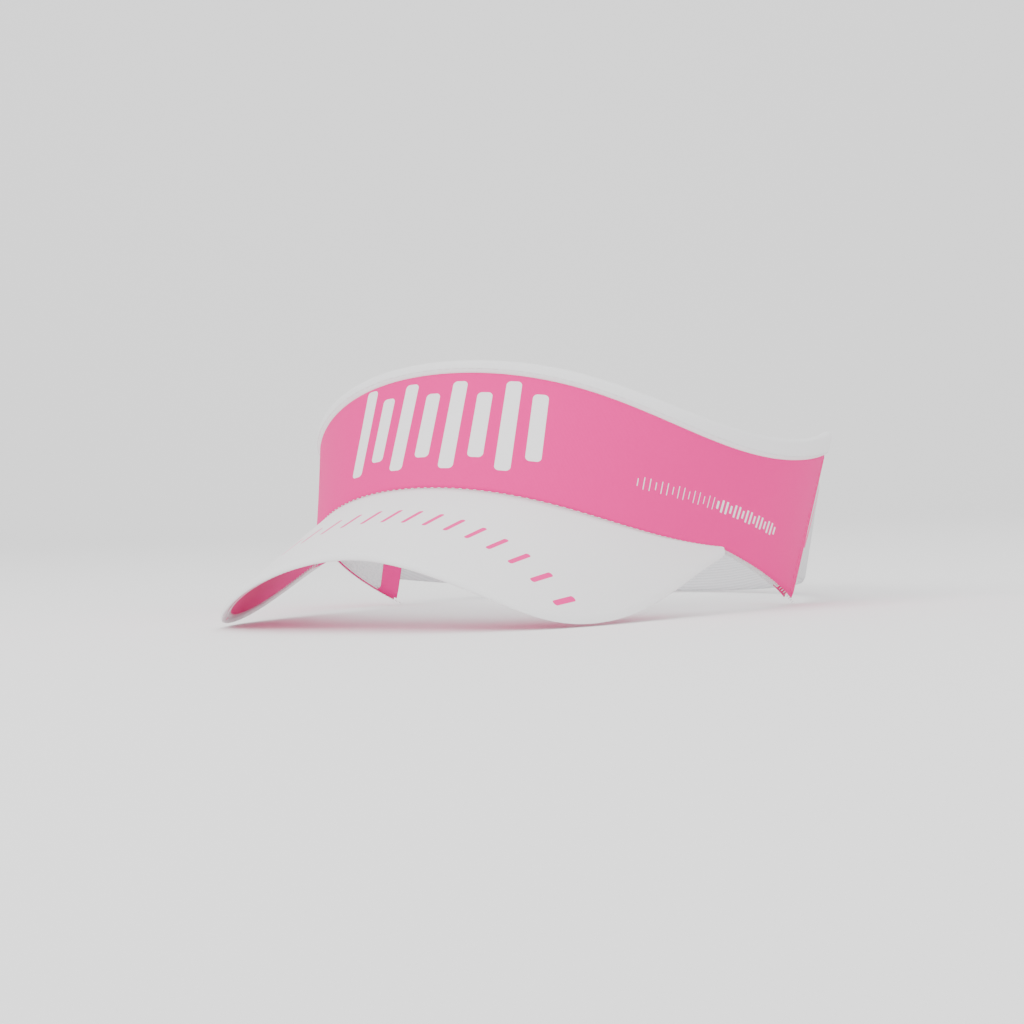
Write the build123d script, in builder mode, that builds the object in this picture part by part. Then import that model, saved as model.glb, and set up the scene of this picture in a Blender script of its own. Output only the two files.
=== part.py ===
"""Sun visor: a curved fabric band with a stiffened brim at the front and an elastic strap at the back.

Frame: millimetres, +Z up, the front of the brim toward -Y, the wearer's left toward +X.
The visor stands as it lies on a table: on the two lobes of the brim and the rear of the strap, at Z = 0.
The band is an oval wall. Its plane is pitched, so that the front is higher than the back.
"""
from math import cos, hypot, radians, sin, tan
import os

from build123d import *

os.makedirs("parts", exist_ok=True)

# Band wall: an oval in a pitched plane, with an outward lean that changes round the head
BAND_HALF_WIDTH = 94.5
BAND_HALF_LENGTH = 91.7
BAND_FULLER_FRONT = 6.3
BAND_PITCH = 21.6
BAND_LEVEL = 50.4
BAND_CENTRE_Y = 30
LEAN_TERMS = (0.042, 0.031, -0.095, -0.080)
WALL_BOTTOM = -62
WALL_TOP = 34
WALL_STEPS = 32
PANEL_ANGLE = 125
SIDE_ROOM = 130

# Side view of the panel, as (Y, Z)
TOP_EDGE = ((-54.2, 85.7), (-39.6, 71.9), (-11.7, 56.1), (14.2, 51.4), (52.8, 52.7))
BINDING_TOP = ((-51.7, 90.6), (-37.8, 77.9), (-9.5, 63.0), (17.1, 58.8), (55.3, 61.2))
CORNER = (-16.9, 22.5)
PANEL_TOE = (29.5, 2.0)
TOE_RADIUS = 3.5
SIDE_FRONT = -100
SIDE_FLOOR = -12

# Fabric layers, as thicknesses from the outer face of the wall inward
SHELL = 0.8
INTERLINING = 1.2
LINING = 0.6
SWEATBAND = 1.8
SWEATBAND_DROP = 10
BINDING = 0.7
ALLOWANCE_HEIGHT = 8
ALLOWANCE_GAP = 0.3

# Elastic strap, as seen from the side
STRAP = 1.6
STRAP_HEIGHT = 38
STRAP_START = (10, 12.4)
STRAP_FOOT = (108, 0)
STRAP_FROM_ANGLE = 76
STRAP_REAR = 160
STRAP_HELD = 12
STRAP_HOLD_Y = 56
STRAP_SPLIT_Y = 90
STRAP_GAP = 0.3
FACING = 0.8
FACING_WIDTH = 14

# Brim: an arch that slopes down forward, and half of its outline from above
BRIM_CREST = (-74.6, 46.4)
BRIM_SLOPE = 23.5
BRIM_ARCH = 0.00514
BRIM_ARCH_EDGE = 2.73e-7
BRIM_ARCH_HALF_WIDTH = 96
BRIM_OUTLINE = ((0, -121.5), (41.2, -119.9), (63.4, -108.6), (76.2, -84.9), (82.6, -42.2), (84.2, -15.4))
BRIM_STEPS = 12
BRIM_REACH = 160
BRIM_COVER = 0.5
BRIM_BOARD = 1.5
RIM_WIDTH = 2.6
RIM_PROUD = 0.25

# Care label, sewn to the inside of the sweatband at the front
LABEL_ANGLE = 9
LABEL_FOOT = 50
LABEL_HEIGHT = 16
LABEL = 0.3

pitch = radians(BAND_PITCH)
wall_plane = Plane(origin=(0, BAND_CENTRE_Y, BAND_LEVEL), x_dir=(1, 0, 0), z_dir=(0, sin(pitch), cos(pitch)))
brim_thickness = 2 * BRIM_COVER + BRIM_BOARD
lining_face = SHELL + INTERLINING
sweatband_face = lining_face + LINING
inner_face = sweatband_face + SWEATBAND
facing_face = SHELL + STRAP


def wall_point(angle, level, depth):
    """A point of the wall: angle from the front centre, level above the band's plane, depth inward."""
    turn = radians(angle)
    x = BAND_HALF_WIDTH * sin(turn) + BAND_FULLER_FRONT * sin(2 * turn)
    y = -BAND_HALF_LENGTH * cos(turn)
    along_x = BAND_HALF_WIDTH * cos(turn) + 2 * BAND_FULLER_FRONT * cos(2 * turn)
    along_y = BAND_HALF_LENGTH * sin(turn)
    lean = sum(term * cos(order * turn) for order, term in enumerate(LEAN_TERMS))
    outward = (level * lean - depth) / hypot(along_x, along_y)
    return (x + outward * along_y, y - outward * along_x)


def wall_curve(start, end, level, depth):
    """One edge of the wall between two angles, at one level."""
    step = (end - start) / WALL_STEPS
    return [wall_point(start + step * index, level, depth) for index in range(WALL_STEPS + 1)]


def wall_layer(start, end, outer_depth, inner_depth, mode=Mode.ADD):
    """One layer of the wall between two angles and two depths."""
    sections = []
    for level in (WALL_BOTTOM, WALL_TOP):
        with BuildSketch(wall_plane.offset(level)) as section:
            with BuildLine():
                outer = Spline(*wall_curve(start, end, level, outer_depth))
                inner = Spline(*wall_curve(start, end, level, inner_depth))
                Line(outer @ 0, inner @ 0)
                Line(outer @ 1, inner @ 1)
            make_face()
        sections.append(section.sketch)
    loft(sections, ruled=True, mode=mode)


def lowered(points, drop):
    """The same line of the side view, lower down."""
    return [(y, z - drop) for y, z in points]


def keep_below(top_edge):
    """Keep the panel's outline in the side view, under a curved top edge, with a round toe."""
    with BuildSketch(Plane.YZ) as outline:
        with BuildLine():
            top = Spline(*top_edge)
            Polyline(top @ 1, PANEL_TOE, CORNER, (CORNER[0], SIDE_FLOOR), (SIDE_FRONT, SIDE_FLOOR),
                     (SIDE_FRONT, top_edge[0][1]), top @ 0)
        make_face()
        toe = outline.vertices().sort_by_distance((*PANEL_TOE, 0))[0]
        fillet(toe, radius=TOE_RADIUS)
    extrude(outline.sketch, amount=SIDE_ROOM, both=True, mode=Mode.INTERSECT)


def keep_between(top_edge, bottom_edge):
    """Keep what lies between two curved edges of the side view."""
    with BuildSketch(Plane.YZ) as outline:
        with BuildLine():
            top = Spline(*top_edge)
            bottom = Spline(*bottom_edge)
            Line(top @ 1, bottom @ 1)
            Polyline(top @ 0, (SIDE_FRONT, top_edge[0][1]), (SIDE_FRONT, bottom_edge[0][1]), bottom @ 0)
        make_face()
    extrude(outline.sketch, amount=SIDE_ROOM, both=True, mode=Mode.INTERSECT)


def keep_outline(*points, mode=Mode.INTERSECT):
    """Keep or take away what lies inside a straight-sided outline of the side view."""
    with BuildSketch(Plane.YZ) as outline:
        with BuildLine():
            Polyline(*points, close=True)
        make_face()
    extrude(outline.sketch, amount=SIDE_ROOM, both=True, mode=mode)


def cut_at_end(inset, side_y):
    """Cut along the panel's end edge moved forward by an inset, taking away the side toward one Y."""
    end_lean = (BINDING_TOP[-1][0] - PANEL_TOE[0]) / (BINDING_TOP[-1][1] - PANEL_TOE[1])
    low = (PANEL_TOE[0] - inset + end_lean * (-SIDE_ROOM - PANEL_TOE[1]), -SIDE_ROOM)
    high = (PANEL_TOE[0] - inset + end_lean * (SIDE_ROOM - PANEL_TOE[1]), SIDE_ROOM)
    keep_outline(low, high, (side_y, SIDE_ROOM), (side_y, -SIDE_ROOM), mode=Mode.SUBTRACT)


def brim_height(x, y):
    """Height of the top of the brim's arch."""
    crest = BRIM_CREST[1] + tan(radians(BRIM_SLOPE)) * (y - BRIM_CREST[0])
    return crest - BRIM_ARCH * x**2 - BRIM_ARCH_EDGE * x**4


def arch_curve(drop):
    """The arch at the brim's back, at a distance below its top."""
    step = BRIM_ARCH_HALF_WIDTH / BRIM_STEPS
    places = [step * index for index in range(-BRIM_STEPS, BRIM_STEPS + 1)]
    return [(x, brim_height(x, CORNER[0]) - drop) for x in places]


def brim_layer(top_drop, bottom_drop, mode=Mode.ADD):
    """A layer of the arch between two distances below its top, swept forward down the slope."""
    slope = radians(BRIM_SLOPE)
    with BuildSketch(Plane.XZ.offset(-CORNER[0])) as arch:
        with BuildLine():
            upper = Spline(*arch_curve(top_drop))
            lower = Spline(*arch_curve(bottom_drop))
            Line(upper @ 0, lower @ 0)
            Line(upper @ 1, lower @ 1)
        make_face()
    extrude(arch.sketch, amount=BRIM_REACH, dir=(0, -cos(slope), -sin(slope)), mode=mode)


def brim_outline(inset, mode=Mode.INTERSECT):
    """Keep or take away what lies inside the brim's outline from above, drawn smaller by an inset."""
    half_width, back_y = BRIM_OUTLINE[-1]
    across = 1 - inset / half_width
    along = 1 - inset / (back_y - BRIM_OUTLINE[0][1])
    half = [(x * across, back_y + (y - back_y) * along) for x, y in BRIM_OUTLINE]
    left_half = [(-x, y) for x, y in half[:0:-1]]
    with BuildSketch(Plane.XY.offset(-SIDE_ROOM)) as outline:
        with BuildLine():
            rim = Spline(*left_half, *half)
            Polyline(rim @ 1, (half[-1][0], BAND_CENTRE_Y), (-half[-1][0], BAND_CENTRE_Y), rim @ 0)
        make_face()
    extrude(outline.sketch, amount=2 * SIDE_ROOM, mode=mode)


def cut_head(depth):
    """Take away everything inside the wall, from a depth inward."""
    sections = []
    for level in (WALL_BOTTOM, WALL_TOP):
        with BuildSketch(wall_plane.offset(level)) as section:
            with BuildLine():
                face = Spline(*wall_curve(-PANEL_ANGLE, PANEL_ANGLE, level, depth))
                Line(face @ 1, face @ 0)
            make_face()
        sections.append(section.sketch)
    loft(sections, ruled=True, mode=Mode.SUBTRACT)


def keep_strap():
    """Keep the strap's outline in the side view: it drops toward the rear, where it stands flat."""
    rise = (STRAP_HEIGHT * sin(pitch), STRAP_HEIGHT * cos(pitch))
    lower = (STRAP_START, STRAP_FOOT, (STRAP_REAR, STRAP_FOOT[1]))
    upper = [(y + rise[0], z + rise[1]) for y, z in reversed(lower)]
    keep_outline(*lower, *upper)


def keep_from(front_y, back_y):
    """Keep what lies between two places along the length."""
    keep_outline((front_y, -SIDE_ROOM), (back_y, -SIDE_ROOM), (back_y, SIDE_ROOM), (front_y, SIDE_ROOM))


# Panel: outer fabric, cut along the top edge, the end, the free lower edge and the top of the brim
panel_top = lowered(BINDING_TOP, BINDING)

with BuildPart() as panel_shell:
    wall_layer(-PANEL_ANGLE, PANEL_ANGLE, 0, SHELL)
    keep_below(panel_top)
    brim_layer(0, SIDE_ROOM, mode=Mode.SUBTRACT)
panel_shell.part.label = "panel_shell"
export_step(panel_shell.part, "parts/panel_shell.step")

# Interlining: stiffens the panel above the brim's turned-in seam, and stops short of the strap's ends
with BuildPart() as panel_interlining:
    wall_layer(-PANEL_ANGLE, PANEL_ANGLE, SHELL, lining_face)
    keep_below(panel_top)
    brim_layer(-ALLOWANCE_HEIGHT - ALLOWANCE_GAP, SIDE_ROOM, mode=Mode.SUBTRACT)
    cut_at_end(FACING_WIDTH, SIDE_ROOM)
panel_interlining.part.label = "panel_interlining"
export_step(panel_interlining.part, "parts/panel_interlining.step")

with BuildPart() as panel_lining:
    wall_layer(-PANEL_ANGLE, PANEL_ANGLE, lining_face, sweatband_face)
    keep_below(panel_top)
    brim_layer(brim_thickness, SIDE_ROOM, mode=Mode.SUBTRACT)
    cut_at_end(FACING_WIDTH, SIDE_ROOM)
panel_lining.part.label = "panel_lining"
export_step(panel_lining.part, "parts/panel_lining.step")

with BuildPart() as sweatband:
    wall_layer(-PANEL_ANGLE, PANEL_ANGLE, sweatband_face, inner_face)
    keep_below(lowered(TOP_EDGE, SWEATBAND_DROP))
    brim_layer(brim_thickness, SIDE_ROOM, mode=Mode.SUBTRACT)
    cut_at_end(FACING_WIDTH, SIDE_ROOM)
sweatband.part.label = "sweatband"
export_step(sweatband.part, "parts/sweatband.step")

# Binding: folded over the top edge of the panel's three layers
with BuildPart() as top_binding:
    wall_layer(-PANEL_ANGLE, PANEL_ANGLE, -BINDING, sweatband_face + BINDING)
    keep_between(BINDING_TOP, TOP_EDGE)
    for layer in (panel_shell, panel_interlining, panel_lining):
        add(layer.part, mode=Mode.SUBTRACT)
top_binding.part.label = "top_binding"
export_step(top_binding.part, "parts/top_binding.step")

# Seam allowance: the brim's cloth turned up inside the shell, from under the brim
with BuildPart() as brim_seam_allowance:
    wall_layer(-PANEL_ANGLE, PANEL_ANGLE, SHELL, lining_face)
    brim_layer(-ALLOWANCE_HEIGHT, brim_thickness, mode=Mode.INTERSECT)
    keep_below(panel_top)
brim_seam_allowance.part.label = "brim_seam_allowance"
export_step(brim_seam_allowance.part, "parts/brim_seam_allowance.step")

# Brim: a board between two covers, inside a rolled rim
with BuildPart() as brim_core:
    brim_layer(BRIM_COVER, BRIM_COVER + BRIM_BOARD)
    brim_outline(RIM_WIDTH)
    cut_head(SHELL)
brim_core.part.label = "brim_core"
export_step(brim_core.part, "parts/brim_core.step")

with BuildPart() as brim_top_cover:
    brim_layer(0, BRIM_COVER)
    brim_outline(RIM_WIDTH)
    cut_head(SHELL)
brim_top_cover.part.label = "brim_top_cover"
export_step(brim_top_cover.part, "parts/brim_top_cover.step")

with BuildPart() as brim_under_cover:
    brim_layer(BRIM_COVER + BRIM_BOARD, brim_thickness)
    brim_outline(RIM_WIDTH)
    cut_head(SHELL)
brim_under_cover.part.label = "brim_under_cover"
export_step(brim_under_cover.part, "parts/brim_under_cover.step")

with BuildPart() as brim_rim:
    brim_layer(-RIM_PROUD, brim_thickness + RIM_PROUD)
    brim_outline(0)
    brim_outline(RIM_WIDTH, mode=Mode.SUBTRACT)
    cut_head(0)
brim_rim.part.label = "brim_rim"
export_step(brim_rim.part, "parts/brim_rim.step")

with BuildPart() as care_label:
    wall_layer(-LABEL_ANGLE, LABEL_ANGLE, inner_face, inner_face + LABEL)
    keep_outline(
        (SIDE_FRONT, LABEL_FOOT),
        (BAND_CENTRE_Y, LABEL_FOOT),
        (BAND_CENTRE_Y, LABEL_FOOT + LABEL_HEIGHT),
        (SIDE_FRONT, LABEL_FOOT + LABEL_HEIGHT),
    )
care_label.part.label = "care_label"
export_step(care_label.part, "parts/care_label.step")

# Strap: its ends are sewn into the panel, its sides stretch, and its rear moves back as one piece
for side, half in (("left", Keep.TOP), ("right", Keep.BOTTOM)):
    with BuildPart() as strap_end:
        wall_layer(-PANEL_ANGLE, PANEL_ANGLE, SHELL, facing_face)
        keep_strap()
        keep_from(-SIDE_ROOM, STRAP_HOLD_Y)
        cut_at_end(STRAP_HELD, -SIDE_ROOM)
        split(bisect_by=Plane.YZ, keep=half)
    strap_end.part.label = f"strap_end_{side}"
    export_step(strap_end.part, f"parts/strap_end_{side}.step")

    with BuildPart() as strap_side:
        wall_layer(STRAP_FROM_ANGLE, 360 - STRAP_FROM_ANGLE, SHELL, facing_face)
        keep_strap()
        keep_from(STRAP_HOLD_Y, STRAP_SPLIT_Y)
        split(bisect_by=Plane.YZ, keep=half)
    strap_side.part.label = f"strap_side_{side}"
    export_step(strap_side.part, f"parts/strap_side_{side}.step")

    with BuildPart() as end_facing:
        wall_layer(-PANEL_ANGLE, PANEL_ANGLE, facing_face, facing_face + FACING)
        keep_below(TOP_EDGE)
        cut_at_end(FACING_WIDTH, -SIDE_ROOM)
        split(bisect_by=Plane.YZ, keep=half)
    end_facing.part.label = f"end_facing_{side}"
    export_step(end_facing.part, f"parts/end_facing_{side}.step")

with BuildPart() as strap_rear:
    wall_layer(STRAP_FROM_ANGLE, 360 - STRAP_FROM_ANGLE, SHELL, facing_face)
    keep_strap()
    keep_from(STRAP_SPLIT_Y + STRAP_GAP, STRAP_REAR)
strap_rear.part.label = "strap_rear"
export_step(strap_rear.part, "parts/strap_rear.step")
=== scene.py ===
"""Looks of the sun visor: cloth, knit, terry, elastic and stitching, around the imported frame."""
import math

import bpy
from mathutils import Euler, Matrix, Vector


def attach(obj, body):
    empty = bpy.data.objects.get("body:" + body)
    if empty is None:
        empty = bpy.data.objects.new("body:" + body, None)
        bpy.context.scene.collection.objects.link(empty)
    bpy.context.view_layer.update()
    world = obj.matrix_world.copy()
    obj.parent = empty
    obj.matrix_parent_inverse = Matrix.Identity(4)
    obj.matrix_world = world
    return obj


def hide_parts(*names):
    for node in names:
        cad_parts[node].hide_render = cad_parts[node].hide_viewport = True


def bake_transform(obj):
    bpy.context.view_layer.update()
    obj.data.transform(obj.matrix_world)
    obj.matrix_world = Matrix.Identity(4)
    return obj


MM = 0.001
UV_PER_MM = 0.1
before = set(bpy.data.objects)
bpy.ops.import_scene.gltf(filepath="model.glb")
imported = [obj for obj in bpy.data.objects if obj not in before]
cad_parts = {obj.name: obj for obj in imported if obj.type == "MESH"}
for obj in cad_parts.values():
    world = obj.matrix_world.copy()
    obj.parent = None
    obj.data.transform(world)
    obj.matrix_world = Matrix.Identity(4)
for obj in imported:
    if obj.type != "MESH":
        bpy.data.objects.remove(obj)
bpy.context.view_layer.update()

# Shape of the wall and the brim, in millimetres, as the design has them
BAND_HALF_WIDTH = 94.5
BAND_HALF_LENGTH = 91.7
BAND_FULLER_FRONT = 6.3
BAND_PITCH = math.radians(21.6)
BAND_LEVEL = 50.4
BAND_CENTRE_Y = 30
LEAN_TERMS = (0.042, 0.031, -0.095, -0.080)
LOWEST_LEVEL = -62
HIGHEST_LEVEL = 34
TOP_EDGE = ((-54.2, 85.7), (-39.6, 71.9), (-11.7, 56.1), (14.2, 51.4), (52.8, 52.7))
BINDING_TOP = ((-51.7, 90.6), (-37.8, 77.9), (-9.5, 63.0), (17.1, 58.8), (55.3, 61.2))
CORNER = (-16.9, 22.5)
PANEL_TOE = (29.5, 2.0)
STRAP_START = (10, 12.4)
STRAP_FOOT = (108, 0)
STRAP_HEIGHT = 38
BRIM_CREST = (-74.6, 46.4)
BRIM_SLOPE = math.radians(23.5)
BRIM_ARCH = 0.00514
BRIM_ARCH_EDGE = 2.73e-7
BRIM_OUTLINE = ((0, -121.5), (41.2, -119.9), (63.4, -108.6), (76.2, -84.9), (82.6, -42.2), (84.2, -15.4))

# Cloth thicknesses and depths from the wall's outer face inward
SHELL = 0.8
SWEATBAND_FACE = 2.6
INNER_FACE = 4.4
STRAP_FACE = 0.9
STRAP_BACK = 2.4
FACING_BACK = 3.2
BRIM_THICKNESS = 2.6
LINING_FACE = 1.4
BINDING_OUTSIDE = -0.9
BINDING_INSIDE = 3.4
COVER_TUCK = SHELL * 0.6
LABEL_BACK = INNER_FACE + 0.05
LABEL_FACE = INNER_FACE + 0.4

# Where the layers stop short of the panel's edges
TOP_TUCK = 1
SWEATBAND_DROP = 10
TOE_CLEARANCE = 6
LINING_INSET = 13
HEM_WIDTH = 14
HEM_SETBACK = 0.4
STRAP_TUCK = 11
STRAP_START_LOW = 9
STRAP_START_HIGH = 46
STRAP_ROWS = 22
LABEL_ANGLE = math.radians(9)
LABEL_FOOT = 50
LABEL_HEAD = 66


# ---------------------------------------------------------------- curves

def smooth_line(points):
    """A height for every Y, through the given points, as a natural cubic curve."""
    count = len(points)
    ys = [p[0] for p in points]
    zs = [p[1] for p in points]
    gaps = [ys[i + 1] - ys[i] for i in range(count - 1)]
    bends = [0.0] * count
    upper = [0.0] * count
    right = [0.0] * count
    for i in range(1, count - 1):
        rise = (zs[i + 1] - zs[i]) / gaps[i] - (zs[i] - zs[i - 1]) / gaps[i - 1]
        pivot = 2 * (gaps[i - 1] + gaps[i]) - gaps[i - 1] * upper[i - 1]
        upper[i] = gaps[i] / pivot
        right[i] = (6 * rise - gaps[i - 1] * right[i - 1]) / pivot
    for i in range(count - 2, 0, -1):
        bends[i] = right[i] - upper[i] * bends[i + 1]

    def height(y):
        i = max(0, min(count - 2, sum(y >= place for place in ys[1:-1])))
        a, b, gap = y - ys[i], ys[i + 1] - y, gaps[i]
        if a < 0 or b < 0:
            near, far = (i, i + 1) if a < 0 else (i + 1, i)
            side = -1 if a < 0 else 1
            slope = (zs[i + 1] - zs[i]) / gap + side * gap * (2 * bends[near] + bends[far]) / 6
            return zs[near] + slope * (y - ys[near])
        curve = (bends[i] * b**3 + bends[i + 1] * a**3) / (6 * gap)
        return curve + (zs[i] / gap - bends[i] * gap / 6) * b + (zs[i + 1] / gap - bends[i + 1] * gap / 6) * a

    return height


def wall(angle, level, depth=0.0):
    """A point of the wall: angle from the front centre, level above the band's plane, depth inward."""
    x = BAND_HALF_WIDTH * math.sin(angle) + BAND_FULLER_FRONT * math.sin(2 * angle)
    y = -BAND_HALF_LENGTH * math.cos(angle)
    along_x = BAND_HALF_WIDTH * math.cos(angle) + 2 * BAND_FULLER_FRONT * math.cos(2 * angle)
    along_y = BAND_HALF_LENGTH * math.sin(angle)
    lean = sum(term * math.cos(order * angle) for order, term in enumerate(LEAN_TERMS))
    outward = (level * lean - depth) / math.hypot(along_x, along_y)
    x += outward * along_y
    y -= outward * along_x
    return Vector((
        x,
        BAND_CENTRE_Y + y * math.cos(BAND_PITCH) + level * math.sin(BAND_PITCH),
        BAND_LEVEL + level * math.cos(BAND_PITCH) - y * math.sin(BAND_PITCH),
    ))


def solve(function, low, high):
    """Where an increasing function is zero."""
    for _ in range(40):
        middle = (low + high) / 2
        if function(middle) < 0:
            low = middle
        else:
            high = middle
    return (low + high) / 2


def level_on(angle, height):
    """The level at which the wall meets a surface whose height is a function of X and Y."""
    def above(level):
        point = wall(angle, level)
        return point.z - height(point.x, point.y)
    return solve(above, LOWEST_LEVEL, HIGHEST_LEVEL)


def angle_at(place, height):
    """The angle at which the edge of the wall along a surface reaches a place along Y."""
    return solve(lambda angle: wall(angle, level_on(angle, height)).y - place, 0.2, math.pi)


def brim_height(x, y):
    crest = BRIM_CREST[1] + math.tan(BRIM_SLOPE) * (y - BRIM_CREST[0])
    return crest - BRIM_ARCH * x**2 - BRIM_ARCH_EDGE * x**4


top_line = smooth_line(TOP_EDGE)
binding_line = smooth_line(BINDING_TOP)


def lower_edge(x, y):
    """The panel's lower edge: on the brim in front of its corner, then straight to the toe."""
    if y < CORNER[0]:
        return brim_height(x, y)
    slope = (PANEL_TOE[1] - CORNER[1]) / (PANEL_TOE[0] - CORNER[0])
    return CORNER[1] + slope * (y - CORNER[0])


def strap_low(x, y):
    slope = (STRAP_FOOT[1] - STRAP_START[1]) / (STRAP_FOOT[0] - STRAP_START[0])
    return max(STRAP_FOOT[1], STRAP_START[1] + slope * (y - STRAP_START[0])) + 0.05


def strap_high(x, y):
    back, up = STRAP_HEIGHT * math.sin(BAND_PITCH), STRAP_HEIGHT * math.cos(BAND_PITCH)
    return strap_low(x, y - back) + up


# ---------------------------------------------------------------- meshes

def make_mesh(name, points, faces, uvs=None):
    """A mesh object from points in millimetres and faces, with a UV for each point."""
    mesh = bpy.data.meshes.new(name)
    mesh.from_pydata([Vector(p) * MM for p in points], [], faces)
    if uvs:
        layer = mesh.uv_layers.new(name="cloth")
        for loop in mesh.loops:
            layer.data[loop.index].uv = uvs[loop.vertex_index]
    mesh.validate()
    mesh.shade_smooth()
    obj = bpy.data.objects.new(name, mesh)
    bpy.context.scene.collection.objects.link(obj)
    return obj


def grid_faces(columns, rows, closed_columns=False, closed_rows=False):
    """Faces of a grid of points, rows running fastest."""
    faces = []
    for i in range(columns if closed_columns else columns - 1):
        for j in range(rows if closed_rows else rows - 1):
            a, b = i * rows, ((i + 1) % columns) * rows
            k = (j + 1) % rows
            faces.append((a + j, b + j, b + k, a + k))
    return faces


def section_ring(columns, section, name):
    """A closed piece: the same round section at each column, with flat ends."""
    points, uvs = [], []
    for i in range(columns):
        ring = section(i / (columns - 1))
        points += [p for p, uv in ring]
        uvs += [uv for p, uv in ring]
    rows = len(points) // columns
    faces = grid_faces(columns, rows, closed_rows=True)
    faces.append(tuple(range(rows - 1, -1, -1)))
    faces.append(tuple((columns - 1) * rows + j for j in range(rows)))
    return make_mesh(name, points, faces, uvs)


def cloth_wall(name, ends, low, high, outer, inner, columns, rows, puff=0.0):
    """A layer of cloth on the wall between two edges, with softly turned edges.
    ends gives the angles of its lower and upper corners on the wearer's right and left."""
    (low_start, high_start), (low_end, high_end) = ends
    middle = (outer + inner) / 2
    half = (inner - outer) / 2

    def section(t):
        low_angle = low_start + (low_end - low_start) * t
        high_angle = high_start + (high_end - high_start) * t
        low_level, high_level = level_on(low_angle, low), level_on(high_angle, high)
        height = high_level - low_level
        ring = []
        for side in (-1, 1):
            for j in range(rows):
                f = j / (rows - 1)
                f = f if side < 0 else 1 - f
                edge = min(1.0, min(f, 1 - f) * height / max(half, 0.35))
                round_off = math.sqrt(max(0.04, 1 - (1 - edge) ** 2))
                swell = puff * math.sin(math.pi * f)
                depth = middle + side * half * round_off - (swell if side < 0 else swell * 0.6)
                angle = low_angle + (high_angle - low_angle) * f
                level = low_level + height * f
                along = angle * (BAND_HALF_WIDTH + BAND_HALF_LENGTH) / 2
                ring.append((wall(angle, level, depth), (along * UV_PER_MM, level * UV_PER_MM)))
        return ring

    return section_ring(columns, section, name)


def both_sides(low_angle, high_angle):
    return ((-low_angle, -high_angle), (low_angle, high_angle))


def thread_mesh(name, stitches, radius):
    """Short round stitches, each from one point to another, as one mesh."""
    points, faces = [], []
    for start, end in stitches:
        start, end = Vector(start), Vector(end)
        axis = (end - start).normalized()
        side = axis.orthogonal().normalized()
        other = axis.cross(side)
        first = len(points)
        for place, width in ((0.0, 0.35), (0.12, 0.85), (0.5, 1.0), (0.88, 0.85), (1.0, 0.35)):
            centre = start.lerp(end, place)
            for k in range(6):
                turn = math.tau * k / 6
                points.append(centre + (side * math.cos(turn) + other * math.sin(turn)) * radius * width)
        for ring in range(4):
            for k in range(6):
                a, b = first + ring * 6, first + ring * 6 + 6
                faces.append((a + k, a + (k + 1) % 6, b + (k + 1) % 6, b + k))
        faces.append(tuple(first + k for k in range(5, -1, -1)))
        faces.append(tuple(first + 24 + k for k in range(6)))
    return make_mesh(name, points, faces)


# ---------------------------------------------------------------- materials

class Nodes:
    """Short names for building a material's nodes."""

    def __init__(self, name):
        self.material = bpy.data.materials.new(name)
        self.material.use_nodes = True
        self.tree = self.material.node_tree
        self.shader = self.tree.nodes["Principled BSDF"]

    def add(self, kind, *values, **settings):
        node = self.tree.nodes.new("ShaderNode" + kind)
        for key, value in settings.items():
            setattr(node, key, value)
        for socket, value in zip(node.inputs, values):
            self.put(socket, value)
        return node

    def put(self, socket, value):
        if value is None:
            return
        if isinstance(value, bpy.types.NodeSocket):
            self.tree.links.new(value, socket)
        else:
            socket.default_value = value

    def math(self, operation, a, b=None, c=None):
        node = self.add("Math", operation=operation)
        for socket, value in zip(node.inputs, (a, b, c)):
            self.put(socket, value)
        return node.outputs[0]

    def mix(self, factor, first, second):
        node = self.add("Mix", data_type="RGBA")
        self.put(node.inputs["Factor"], factor)
        self.put(node.inputs[6], first)
        self.put(node.inputs[7], second)
        return node.outputs[2]

    def noise(self, vector, scale, detail=3.0):
        node = self.add("TexNoise")
        self.put(node.inputs["Vector"], vector)
        node.inputs["Scale"].default_value = scale
        node.inputs["Detail"].default_value = detail
        return node.outputs["Fac"]

    def cloth_uv(self):
        """Along and up the cloth, in millimetres."""
        uv = self.add("UVMap", uv_map="cloth").outputs[0]
        axes = self.add("SeparateXYZ", uv)
        along = self.math("MULTIPLY", axes.outputs[0], 1 / UV_PER_MM)
        up = self.math("MULTIPLY", axes.outputs[1], 1 / UV_PER_MM)
        return along, up

    def place(self):
        return self.add("TexCoord").outputs["Object"]

    def bump(self, height, distance, strength=1.0):
        node = self.add("Bump")
        node.inputs["Strength"].default_value = strength
        node.inputs["Distance"].default_value = distance
        self.put(node.inputs["Height"], height)
        return node.outputs[0]


def wave(n, value, period):
    """A smooth rib between 0 and 1, one for each period."""
    turn = n.math("MULTIPLY", value, math.tau / period)
    return n.math("MULTIPLY_ADD", n.math("SINE", turn), 0.5, 0.5)


def slanted_bar(n, u, v, centre, half, slant, soft=0.12, radius=1.2):
    """1 inside a rounded bar that leans over, 0 outside, in millimetres."""
    dv = n.math("SUBTRACT", v, centre[1])
    du = n.math("SUBTRACT", n.math("SUBTRACT", u, centre[0]), n.math("MULTIPLY", dv, slant))
    dx = n.math("MAXIMUM", n.math("SUBTRACT", n.math("ABSOLUTE", du), half[0] - radius), 0.0)
    dy = n.math("MAXIMUM", n.math("SUBTRACT", n.math("ABSOLUTE", dv), half[1] - radius), 0.0)
    away = n.math("SQRT", n.math("ADD", n.math("MULTIPLY", dx, dx), n.math("MULTIPLY", dy, dy)))
    edge = n.math("DIVIDE", n.math("SUBTRACT", radius, away), soft)
    node = n.add("Clamp", edge)
    return node.outputs[0]


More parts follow.
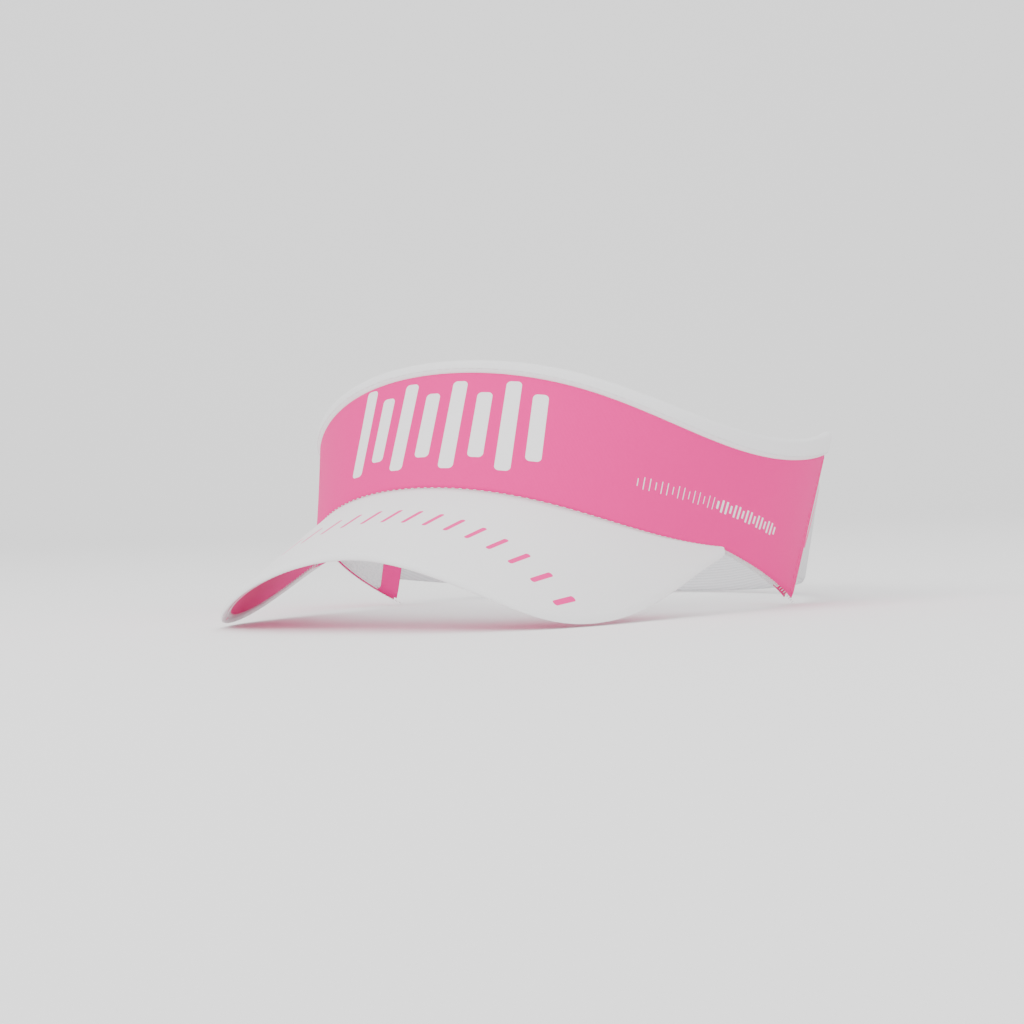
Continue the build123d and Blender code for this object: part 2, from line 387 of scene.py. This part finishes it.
def any_of(n, masks):
    total = masks[0]
    for mask in masks[1:]:
        total = n.math("MAXIMUM", total, mask)
    return total


def finish_cloth(n, colour, roughness, sheen, bump, tint=(1, 1, 1, 1)):
    n.put(n.shader.inputs["Base Color"], colour)
    n.put(n.shader.inputs["Roughness"], roughness)
    n.shader.inputs["Sheen Weight"].default_value = sheen
    n.shader.inputs["Sheen Roughness"].default_value = 0.5
    n.shader.inputs["Sheen Tint"].default_value = tint
    n.shader.inputs["Specular IOR Level"].default_value = 0.3
    n.put(n.shader.inputs["Normal"], bump)
    return n.material


PINK = (0.93, 0.0, 0.27, 1)
# PINK_DEEP is the darker pink of the panel's rib and mottle; in the pink knit it is painted shade in the gaps
# between loops.
PINK_DEEP = (0.72, 0.0, 0.19, 1)
WHITE = (0.90, 0.90, 0.905, 1)
# WHITE_SHADE gives random tone and the label's grain, and in the white knit painted shade in the gaps between
# loops.
WHITE_SHADE = (0.80, 0.805, 0.82, 1)
PRINT_WHITE = (0.93, 0.92, 0.93, 1)
ELASTIC = (0.72, 0.73, 0.75, 1)
# ELASTIC_SHADE is painted shade in the grooves between the elastic's ribs.
ELASTIC_SHADE = (0.52, 0.53, 0.55, 1)
# TERRY_SHADE is painted shade between the terry's tufts.
TERRY_SHADE = (0.62, 0.63, 0.66, 1)
THREAD_WHITE = (0.9, 0.9, 0.9, 1)
PINK_SHEEN = 0.06
PINK_SHEEN_TINT = (1, 0.3, 0.55, 1)


def panel_material():
    """Printed pink cloth with a very fine upright rib and white graphics."""
    n = Nodes("panel_pink_cloth")
    u, v = n.cloth_uv()
    rib = wave(n, u, 0.42)
    cross = wave(n, v, 0.5)
    mottle = n.noise(n.place(), 900, 4)
    base = n.mix(n.math("MULTIPLY", rib, 0.22), PINK, PINK_DEEP)
    base = n.mix(n.math("MULTIPLY", mottle, 0.10), base, PINK_DEEP)
    bars = []
    for index in range(FRONT_BARS):
        tall = FRONT_TALL if index % 2 == 0 else FRONT_SHORT
        along = FRONT_GRAPHIC[0] + FRONT_PITCH * (index - (FRONT_BARS - 1) / 2)
        bars.append(slanted_bar(n, u, v, (along, FRONT_GRAPHIC[1]),
                                (2.6, tall), -0.05, radius=1.6))
    for index in range(SIDE_MARKS):
        bold = index >= FIRST_BOLD
        along = SIDE_GRAPHIC[0] + SIDE_PITCH * index
        bars.append(slanted_bar(n, u, v, (along, SIDE_GRAPHIC[1] + SIDE_GRAPHIC[2] * index),
                                (0.55 if bold else 0.22, 2.2 if index % 3 else 1.4), 0.0, radius=0.2))
    bars.append(slanted_bar(n, u, v, FAR_GRAPHIC, (1.2, 2.2), 0.1, radius=0.3))
    mask = any_of(n, bars)
    colour = n.mix(mask, base, PRINT_WHITE)
    height = n.math("MULTIPLY_ADD", cross, 0.25, rib)
    rough = n.math("MULTIPLY_ADD", mottle, 0.12, 0.62)
    return finish_cloth(n, colour, rough, PINK_SHEEN, n.bump(height, 0.00006, 0.55), PINK_SHEEN_TINT)


def knit_material(name, colour, shade, wale=0.55, course=0.45, depth=0.00007, sheen=0.3, rough=0.72):
    """A fine jersey knit: rows of small loops."""
    n = Nodes(name)
    u, v = n.cloth_uv()
    sway = n.math("MULTIPLY", n.math("SINE", n.math("MULTIPLY", v, math.tau / course)), wale * 0.18)
    loops = wave(n, n.math("ADD", u, sway), wale)
    rows = wave(n, v, course)
    mottle = n.noise(n.place(), 700, 4)
    wide = n.noise(n.place(), 60, 2)
    # Darker in the gaps between the loops: painted shade in the knit's hollows. The wide mottle below is
    # random tone.
    base = n.mix(n.math("MULTIPLY", n.math("SUBTRACT", 1.0, loops), 0.30), colour, shade)
    base = n.mix(n.math("MULTIPLY", wide, 0.12), base, shade)
    height = n.math("MULTIPLY_ADD", rows, 0.5, loops)
    height = n.math("MULTIPLY_ADD", mottle, 0.3, height)
    roughness = n.math("MULTIPLY_ADD", mottle, 0.1, rough)
    return finish_cloth(n, base, roughness, sheen, n.bump(height, depth, 0.6))


def brim_material():
    """The brim's smooth white cloth, with a row of plain pink dashes."""
    n = Nodes("brim_white_cloth")
    u, v = n.cloth_uv()
    weave = n.math("ADD", wave(n, u, 0.36), wave(n, v, 0.36))
    mottle = n.noise(n.place(), 800, 4)
    wide = n.noise(n.place(), 40, 2)
    base = n.mix(n.math("MULTIPLY", wide, 0.2), WHITE, WHITE_SHADE)
    marks = []
    for index in range(-ARC_REACH, ARC_REACH + 1):
        marks.append(slanted_bar(n, u, v, (ARC_PITCH * index, ARC_GRAPHIC), (0.9, 4.4), 0.3, radius=0.8))
    colour = n.mix(any_of(n, marks), base, PINK)
    height = n.math("MULTIPLY_ADD", mottle, 0.5, weave)
    roughness = n.math("MULTIPLY_ADD", mottle, 0.1, 0.6)
    return finish_cloth(n, colour, roughness, 0.2, n.bump(height, 0.00003, 0.4))


def elastic_material():
    """Woven elastic: close ribs along its length, and plain pink dashes outside."""
    n = Nodes("strap_elastic")
    u, v = n.cloth_uv()
    ribs = wave(n, v, 1.1)
    picks = wave(n, u, 0.7)
    mottle = n.noise(n.place(), 600, 4)
    # Darker in the grooves between the ribs: painted shade.
    base = n.mix(n.math("MULTIPLY", n.math("SUBTRACT", 1.0, ribs), 0.45), ELASTIC, ELASTIC_SHADE)
    side = n.math("GREATER_THAN", v, OUTSIDE_SHIFT / 2)
    marks = []
    for index in range(STRAP_MARK_COUNT):
        along = STRAP_MARKS + STRAP_MARK_PITCH * index
        marks.append(slanted_bar(n, u, v, (along, OUTSIDE_SHIFT - 12),
                                 (1.1, 12.5), 0.28, radius=0.6))
    mask = n.math("MULTIPLY", any_of(n, marks), side)
    colour = n.mix(mask, base, PINK)
    height = n.math("MULTIPLY_ADD", picks, 0.35, ribs)
    height = n.math("MULTIPLY_ADD", mottle, 0.3, height)
    roughness = n.math("MULTIPLY_ADD", mottle, 0.1, 0.7)
    return finish_cloth(n, colour, roughness, 0.3, n.bump(height, 0.00012, 0.7))


def terry_material():
    """Looped terry: a pile of small tufts."""
    n = Nodes("sweatband_terry")
    place = n.place()
    cells = n.add("TexVoronoi", feature="F1")
    n.put(cells.inputs["Vector"], place)
    cells.inputs["Scale"].default_value = 1100
    tuft = n.math("SUBTRACT", 1.0, cells.outputs["Distance"])
    fuzz = n.noise(place, 2200, 4)
    # Darker between the tufts: painted shade in the pile.
    base = n.mix(n.math("MULTIPLY", n.math("SUBTRACT", 1.0, tuft), 0.7), WHITE, TERRY_SHADE)
    height = n.math("MULTIPLY_ADD", fuzz, 0.5, tuft)
    return finish_cloth(n, base, 0.92, 0.5, n.bump(height, 0.0004, 0.9))


def thread_material(name, colour):
    """Polyester thread with a slow twist."""
    n = Nodes(name)
    twist = n.noise(n.place(), 2500, 2)
    shade = tuple(c * 0.82 for c in colour[:3]) + (1,)
    return finish_cloth(n, n.mix(twist, colour, shade), 0.45, 0.2, n.bump(twist, 0.00005, 0.5))


def label_material():
    """Plain satin label cloth, with a fine weft."""
    n = Nodes("label_satin")
    v = n.cloth_uv()[1]
    grain = wave(n, v, 0.3)
    base = n.mix(n.math("MULTIPLY", grain, 0.3), WHITE, WHITE_SHADE)
    return finish_cloth(n, base, n.math("MULTIPLY_ADD", grain, 0.1, 0.35), 0.1, n.bump(grain, 0.00003, 0.5))


def finish_piece(obj, material, body, slot, *nodes):
    """Material, body and the CAD nodes that a piece stands for; slot is not used."""
    obj.data.materials.clear()
    obj.data.materials.append(material)
    if nodes:
        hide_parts(*nodes)
    if body:
        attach(obj, body)
    return obj


# ---------------------------------------------------------------- where the edges and graphics lie

END_LEAN = (BINDING_TOP[-1][0] - PANEL_TOE[0]) / (BINDING_TOP[-1][1] - PANEL_TOE[1])
# Graphics, in millimetres along and up the cloth. The strap's outer face is shifted up, to tell it apart.
OUTSIDE_SHIFT = 100
FRONT_GRAPHIC = (0, -18)
FRONT_BARS, FRONT_PITCH, FRONT_TALL, FRONT_SHORT = 8, 9.1, 16.8, 12.4
SIDE_GRAPHIC = (67, -31, 0.06)
SIDE_MARKS, SIDE_PITCH, FIRST_BOLD = 31, 2.3, 15
FAR_GRAPHIC = (-94.5, -20)
ARC_GRAPHIC = -95
ARC_REACH, ARC_PITCH = 8, 8.4
STRAP_MARKS = 152
STRAP_MARK_COUNT, STRAP_MARK_PITCH = 10, 21


def on_top_line(x, y):
    return top_line(y)


def on_binding_line(x, y):
    return binding_line(y)


def under_brim(x, y):
    """The lower edge of the inner layers, which reach down behind the brim's back edge."""
    return lower_edge(x, y) - (BRIM_THICKNESS if y < CORNER[0] else 0)


def above_top_line(x, y):
    return top_line(y) + TOP_TUCK


def above_sweatband(x, y):
    return top_line(y) - SWEATBAND_DROP


def panel_end(z, inset=0.0):
    """Where the panel ends along Y at a height, moved forward by an inset."""
    return PANEL_TOE[0] + END_LEAN * (z - PANEL_TOE[1]) - inset


def end_angles(low, high, low_z, high_z, inset=0.0):
    return angle_at(panel_end(low_z, inset), low), angle_at(panel_end(high_z, inset), high)


toe_z, top_z = PANEL_TOE[1], TOP_EDGE[-1][1]
corner_angle = angle_at(CORNER[0], lower_edge)


# ---------------------------------------------------------------- the band

def make_panel():
    low, high = end_angles(lower_edge, on_top_line, toe_z, top_z)
    panel = cloth_wall("panel_cloth", both_sides(low, high), lower_edge, above_top_line, 0.0, SHELL, 260, 26)
    finish_piece(panel, panel_material(), "band", "pink_cloth", "panel_shell", "panel_interlining")


def make_lining():
    low, high = end_angles(lower_edge, on_top_line, toe_z + TOE_CLEARANCE, top_z, LINING_INSET)
    lining = cloth_wall("panel_lining_knit", both_sides(low, high), under_brim, above_top_line,
                        LINING_FACE, SWEATBAND_FACE, 200, 18)
    cloth = knit_material("lining_knit", WHITE, WHITE_SHADE)
    finish_piece(lining, cloth, "band", "white_knit", "panel_lining")


def make_sweatband():
    low, high = end_angles(lower_edge, above_sweatband, toe_z + TOE_CLEARANCE,
                           top_z - SWEATBAND_DROP, HEM_WIDTH)
    band = cloth_wall("sweatband_terry", both_sides(low, high), under_brim, above_sweatband,
                      SWEATBAND_FACE, INNER_FACE, 420, 60, puff=-0.5)
    finish_piece(band, terry_material(), "band", "terry", "sweatband")


def make_binding():
    low, high = end_angles(on_top_line, on_binding_line, top_z, BINDING_TOP[-1][1])
    binding = cloth_wall("top_binding_knit", both_sides(low + 0.012, high), on_top_line, on_binding_line,
                         BINDING_OUTSIDE, BINDING_INSIDE, 260, 18, puff=0.15)
    finish_piece(binding, knit_material("binding_knit", WHITE, WHITE_SHADE, 0.45, 0.4, 0.00006),
                 "band", "white_knit", "top_binding")


def make_facings():
    low, high = end_angles(lower_edge, on_top_line, toe_z, top_z, HEM_SETBACK)
    low_in, high_in = end_angles(lower_edge, on_top_line, toe_z + TOE_CLEARANCE, top_z, HEM_WIDTH)
    cloth = knit_material("facing_cloth", PINK, PINK_DEEP, 0.5, 0.45, sheen=PINK_SHEEN)
    for name, sign in (("left", 1), ("right", -1)):
        ends = ((sign * low_in, sign * high_in), (sign * low, sign * high))
        facing = cloth_wall("end_hem_" + name, ends, lower_edge, on_top_line,
                            STRAP_BACK, FACING_BACK, 24, 18)
        finish_piece(facing, cloth, "band", "pink_cloth", "end_facing_" + name)


def make_strap():
    low, high = end_angles(strap_low, strap_high, STRAP_START_LOW, STRAP_START_HIGH, STRAP_TUCK)
    ends = ((low, high), (math.tau - low, math.tau - high))
    strap = cloth_wall("strap_elastic", ends, strap_low, strap_high, STRAP_FACE, STRAP_BACK, 320,
                       STRAP_ROWS)
    uv = strap.data.uv_layers["cloth"].data
    for loop in strap.data.loops:
        if loop.vertex_index % (2 * STRAP_ROWS) < STRAP_ROWS:
            uv[loop.index].uv.y += OUTSIDE_SHIFT * UV_PER_MM
    finish_piece(strap, elastic_material(), None, "elastic", "strap_rear", "strap_side_left",
                 "strap_side_right", "strap_end_left", "strap_end_right")
    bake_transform(strap)


def make_label():
    label = cloth_wall("care_label_blank", both_sides(LABEL_ANGLE, LABEL_ANGLE), lambda x, y: LABEL_FOOT,
                       lambda x, y: LABEL_HEAD, LABEL_BACK, LABEL_FACE, 20, 10)
    finish_piece(label, label_material(), "band", "label", "care_label")


# ---------------------------------------------------------------- the brim

def outline_curve():
    """The brim's outline from the wearer's right to left, as X and Y for a fraction of its length."""
    points = [(-x, y) for x, y in BRIM_OUTLINE[:0:-1]] + list(BRIM_OUTLINE)
    places = [0.0]
    for (x0, y0), (x1, y1) in zip(points, points[1:]):
        places.append(places[-1] + math.hypot(x1 - x0, y1 - y0))
    total = places[-1]
    across = smooth_line([(s / total, x) for s, (x, y) in zip(places, points)])
    along = smooth_line([(s / total, y) for s, (x, y) in zip(places, points)])
    return lambda t: Vector((across(t), along(t)))


rim_at = outline_curve()
BRIM_MIDDLE = Vector((0, -60))


def seam_at(t, depth=0.0):
    """The seam between brim and panel, from the wearer's right to left."""
    angle = corner_angle * (2 * t - 1)
    return wall(angle, level_on(angle, brim_height), depth)


def brim_section(t, top_drop, bottom_drop, inset, back_depth, rows=18, roll=9):
    """A ring across the brim: over the top from the seam, round the rim and back underneath."""
    seam = seam_at(t, back_depth)
    seam = Vector((seam.x, seam.y))
    rim = rim_at(t)
    near = rim_at(min(1, t + 0.002)) - rim_at(max(0, t - 0.002))
    outward = Vector((near.y, -near.x)).normalized()
    if outward.dot(rim - BRIM_MIDDLE) < 0:
        outward = -outward
    half = (bottom_drop - top_drop) / 2
    reach = (rim - seam).length
    edge = min(1.0, reach / 8)
    radius = half * 0.75 * edge
    rim = rim - outward * (inset * edge + radius)
    ring = []

    def put(place, drop):
        point = (place.x, place.y, brim_height(place.x, place.y) - drop)
        ring.append((point, (place.x * UV_PER_MM, place.y * UV_PER_MM)))

    for j in range(rows):
        put(seam.lerp(rim, j / (rows - 1)), top_drop)
    for j in range(1, roll):
        turn = math.pi * j / roll
        put(rim + outward * radius * math.sin(turn), top_drop + half * (1 - math.cos(turn)))
    for j in range(rows):
        put(rim.lerp(seam, j / (rows - 1)), bottom_drop)
    return ring


def make_brim():
    cover = section_ring(240, lambda t: brim_section(t, 0, BRIM_THICKNESS, 0, COVER_TUCK),
                         "brim_cloth_cover")
    finish_piece(cover, brim_material(), "band", "brim_white",
                 "brim_top_cover", "brim_rim", "brim_core", "brim_seam_allowance")
    under = section_ring(240, lambda t: brim_section(t, BRIM_THICKNESS - 0.2, BRIM_THICKNESS + 0.35, 2.4,
                                                     COVER_TUCK, roll=4), "brim_cloth_lining")
    finish_piece(under, knit_material("brim_lining_cloth", PINK, PINK_DEEP, 0.5, 0.45, sheen=PINK_SHEEN),
                 "band", "brim_pink", "brim_under_cover")


# ---------------------------------------------------------------- stitches

def edge_stitches(height, start, end, length, gap, depth, rise=0.0):
    """A row of stitches along an edge of the wall between two angles, in millimetres."""
    radius = (BAND_HALF_WIDTH + BAND_HALF_LENGTH) / 2
    count = int((end - start) * radius / (length + gap))
    rows = []
    for index in range(count):
        a = start + (end - start) * index / count
        b = a + length / radius
        rows.append((wall(a, level_on(a, height) + rise, depth), wall(b, level_on(b, height) + rise, depth)))
    return rows


def stitch_brim_seam(thread):
    seam = edge_stitches(brim_height, -corner_angle, corner_angle, 1.0, 1.3, -0.08, 0.25)
    finish_piece(thread_mesh("brim_seam_stitches", seam, 0.16), thread, "band", "white_knit")


def stitch_binding(thread):
    end = end_angles(on_top_line, on_binding_line, top_z, BINDING_TOP[-1][1])[0]
    hem = edge_stitches(on_top_line, -end, end, 2.1, 0.7, -1.02, 1.5)
    finish_piece(thread_mesh("binding_stitches", hem, 0.13), thread, "band", "white_knit")


def stitch_panel_ends(thread, count=20, filled=0.72):
    """Two rows up each end of the panel."""
    ends = []
    for sign in (-1, 1):
        for inset in (1.6, 3.4):
            a0, a1 = end_angles(lower_edge, on_top_line, toe_z, top_z, inset)
            l0, l1 = level_on(a0, lower_edge) + 1, level_on(a1, on_top_line) - 0.5
            for index in range(count):
                f, g = index / count, (index + filled) / count
                ends.append((wall(sign * (a0 + (a1 - a0) * f), l0 + (l1 - l0) * f, -0.05),
                             wall(sign * (a0 + (a1 - a0) * g), l0 + (l1 - l0) * g, -0.05)))
    finish_piece(thread_mesh("panel_end_stitches", ends, 0.14), thread, "band", "pink_cloth")


def stitch_lower_edge(thread, count=31, count_to_toe=26):
    """Short loops over the lower edge, behind the brim. The last of them run on past the toe."""
    loops = []
    toe = end_angles(lower_edge, on_top_line, toe_z, top_z, 2)[0]
    for sign in (-1, 1):
        for index in range(count):
            a = corner_angle + (toe - corner_angle) * (index + 0.5) / count_to_toe
            level = level_on(a, lower_edge)
            loops.append((wall(sign * a, level + 0.1, 0.3), wall(sign * (a + 0.006), level - 0.5, 1.2)))
    finish_piece(thread_mesh("lower_edge_stitches", loops, 0.16), thread, "band", "white_knit")


def stitch_brim_zigzag(thread, count=170):
    """A zigzag under the brim, where its pink lining meets the white roll."""
    zigzag = []
    for index in range(count):
        corners = []
        for t, inset in ((index / count, 2.2), ((index + 0.5) / count, 3.6), ((index + 1) / count, 2.2)):
            t = 0.02 + 0.96 * t
            rim, near = rim_at(t), rim_at(t + 0.002) - rim_at(t - 0.002)
            inward = Vector((-near.y, near.x)).normalized()
            place = rim + inward * inset
            corners.append((place.x, place.y, brim_height(place.x, place.y) - BRIM_THICKNESS - 0.42))
        zigzag += [(corners[0], corners[1]), (corners[1], corners[2])]
    finish_piece(thread_mesh("brim_zigzag_stitches", zigzag, 0.13), thread, "band", "brim_white")


def make_stitches():
    white = thread_material("thread_white", THREAD_WHITE)
    pink = thread_material("thread_pink", PINK)
    stitch_brim_seam(white)
    stitch_binding(white)
    stitch_panel_ends(pink)
    stitch_lower_edge(white)
    stitch_brim_zigzag(white)


# ---------------------------------------------------------------- studio

def make_light(name, place, aim, size, power):
    data = bpy.data.lights.new(name, "AREA")
    data.shape = "RECTANGLE"
    data.size, data.size_y = size
    data.energy = power
    light = bpy.data.objects.new(name, data)
    light.location = place
    light.rotation_euler = (Vector(aim) - Vector(place)).to_track_quat("-Z", "Y").to_euler()
    bpy.context.scene.collection.objects.link(light)


def make_studio():
    world = bpy.data.worlds.new("studio")
    world.use_nodes = True
    world.node_tree.nodes["Background"].inputs[0].default_value = (1, 1, 1, 1)
    world.node_tree.nodes["Background"].inputs[1].default_value = 1.0
    bpy.context.scene.world = world
    far, near, wide, tall, bend = 1.6, -1.6, 2.4, 2.0, 0.5
    profile = [(near, 0.0), (far - bend, 0.0)]
    profile += [(far - bend + bend * math.sin(a), bend - bend * math.cos(a))
                for a in (math.pi / 2 * k / 12 for k in range(1, 13))]
    profile.append((far, tall))
    turn = -CAMERA_AZIMUTH
    points = []
    for y, z in profile:
        for x in (-wide, wide):
            points.append(Vector((x * math.cos(turn) + y * math.sin(turn),
                                  -x * math.sin(turn) + y * math.cos(turn), z)) / MM)
    backdrop = make_mesh("backdrop", points, [(2 * i, 2 * i + 1, 2 * i + 3, 2 * i + 2)
                                              for i in range(len(profile) - 1)])
    n = Nodes("backdrop_paper")
    n.shader.inputs["Base Color"].default_value = (0.95, 0.95, 0.95, 1)
    n.shader.inputs["Roughness"].default_value = 0.9
    backdrop.data.materials.append(n.material)
    make_light("key", (-0.5, -1.1, 1.0), (0, 0, 0.04), (1.0, 1.0), 15)
    make_light("fill", (1.3, -0.6, 0.7), (0, 0, 0.04), (1.2, 1.0), 9)
    make_light("top", (0, 0.2, 1.5), (0, 0, 0), (1.4, 1.4), 12)


CAMERA_AZIMUTH = math.radians(32.35)
CAMERA_ELEVATION = math.radians(1.17)
CAMERA_ROLL = math.radians(-1.96)
CAMERA_DISTANCE = 1.112
CAMERA_TARGET = Vector((-21.5, 15.1, 35.4)) * MM
CAMERA_LENS = 104.8


def make_camera():
    data = bpy.data.cameras.new("camera")
    data.lens = CAMERA_LENS
    data.sensor_width = 36
    camera = bpy.data.objects.new("camera", data)
    away = Vector((math.sin(CAMERA_AZIMUTH) * math.cos(CAMERA_ELEVATION),
                   -math.cos(CAMERA_AZIMUTH) * math.cos(CAMERA_ELEVATION),
                   math.sin(CAMERA_ELEVATION)))
    camera.location = CAMERA_TARGET + away * CAMERA_DISTANCE
    facing = away.to_track_quat("Z", "Y")
    camera.rotation_euler = (facing @ Euler((0, 0, CAMERA_ROLL)).to_quaternion()).to_euler()
    bpy.context.scene.collection.objects.link(camera)
    bpy.context.scene.camera = camera


make_panel()
make_lining()
make_sweatband()
make_binding()
make_facings()
make_strap()
make_label()
make_brim()
make_stitches()
make_studio()
make_camera()
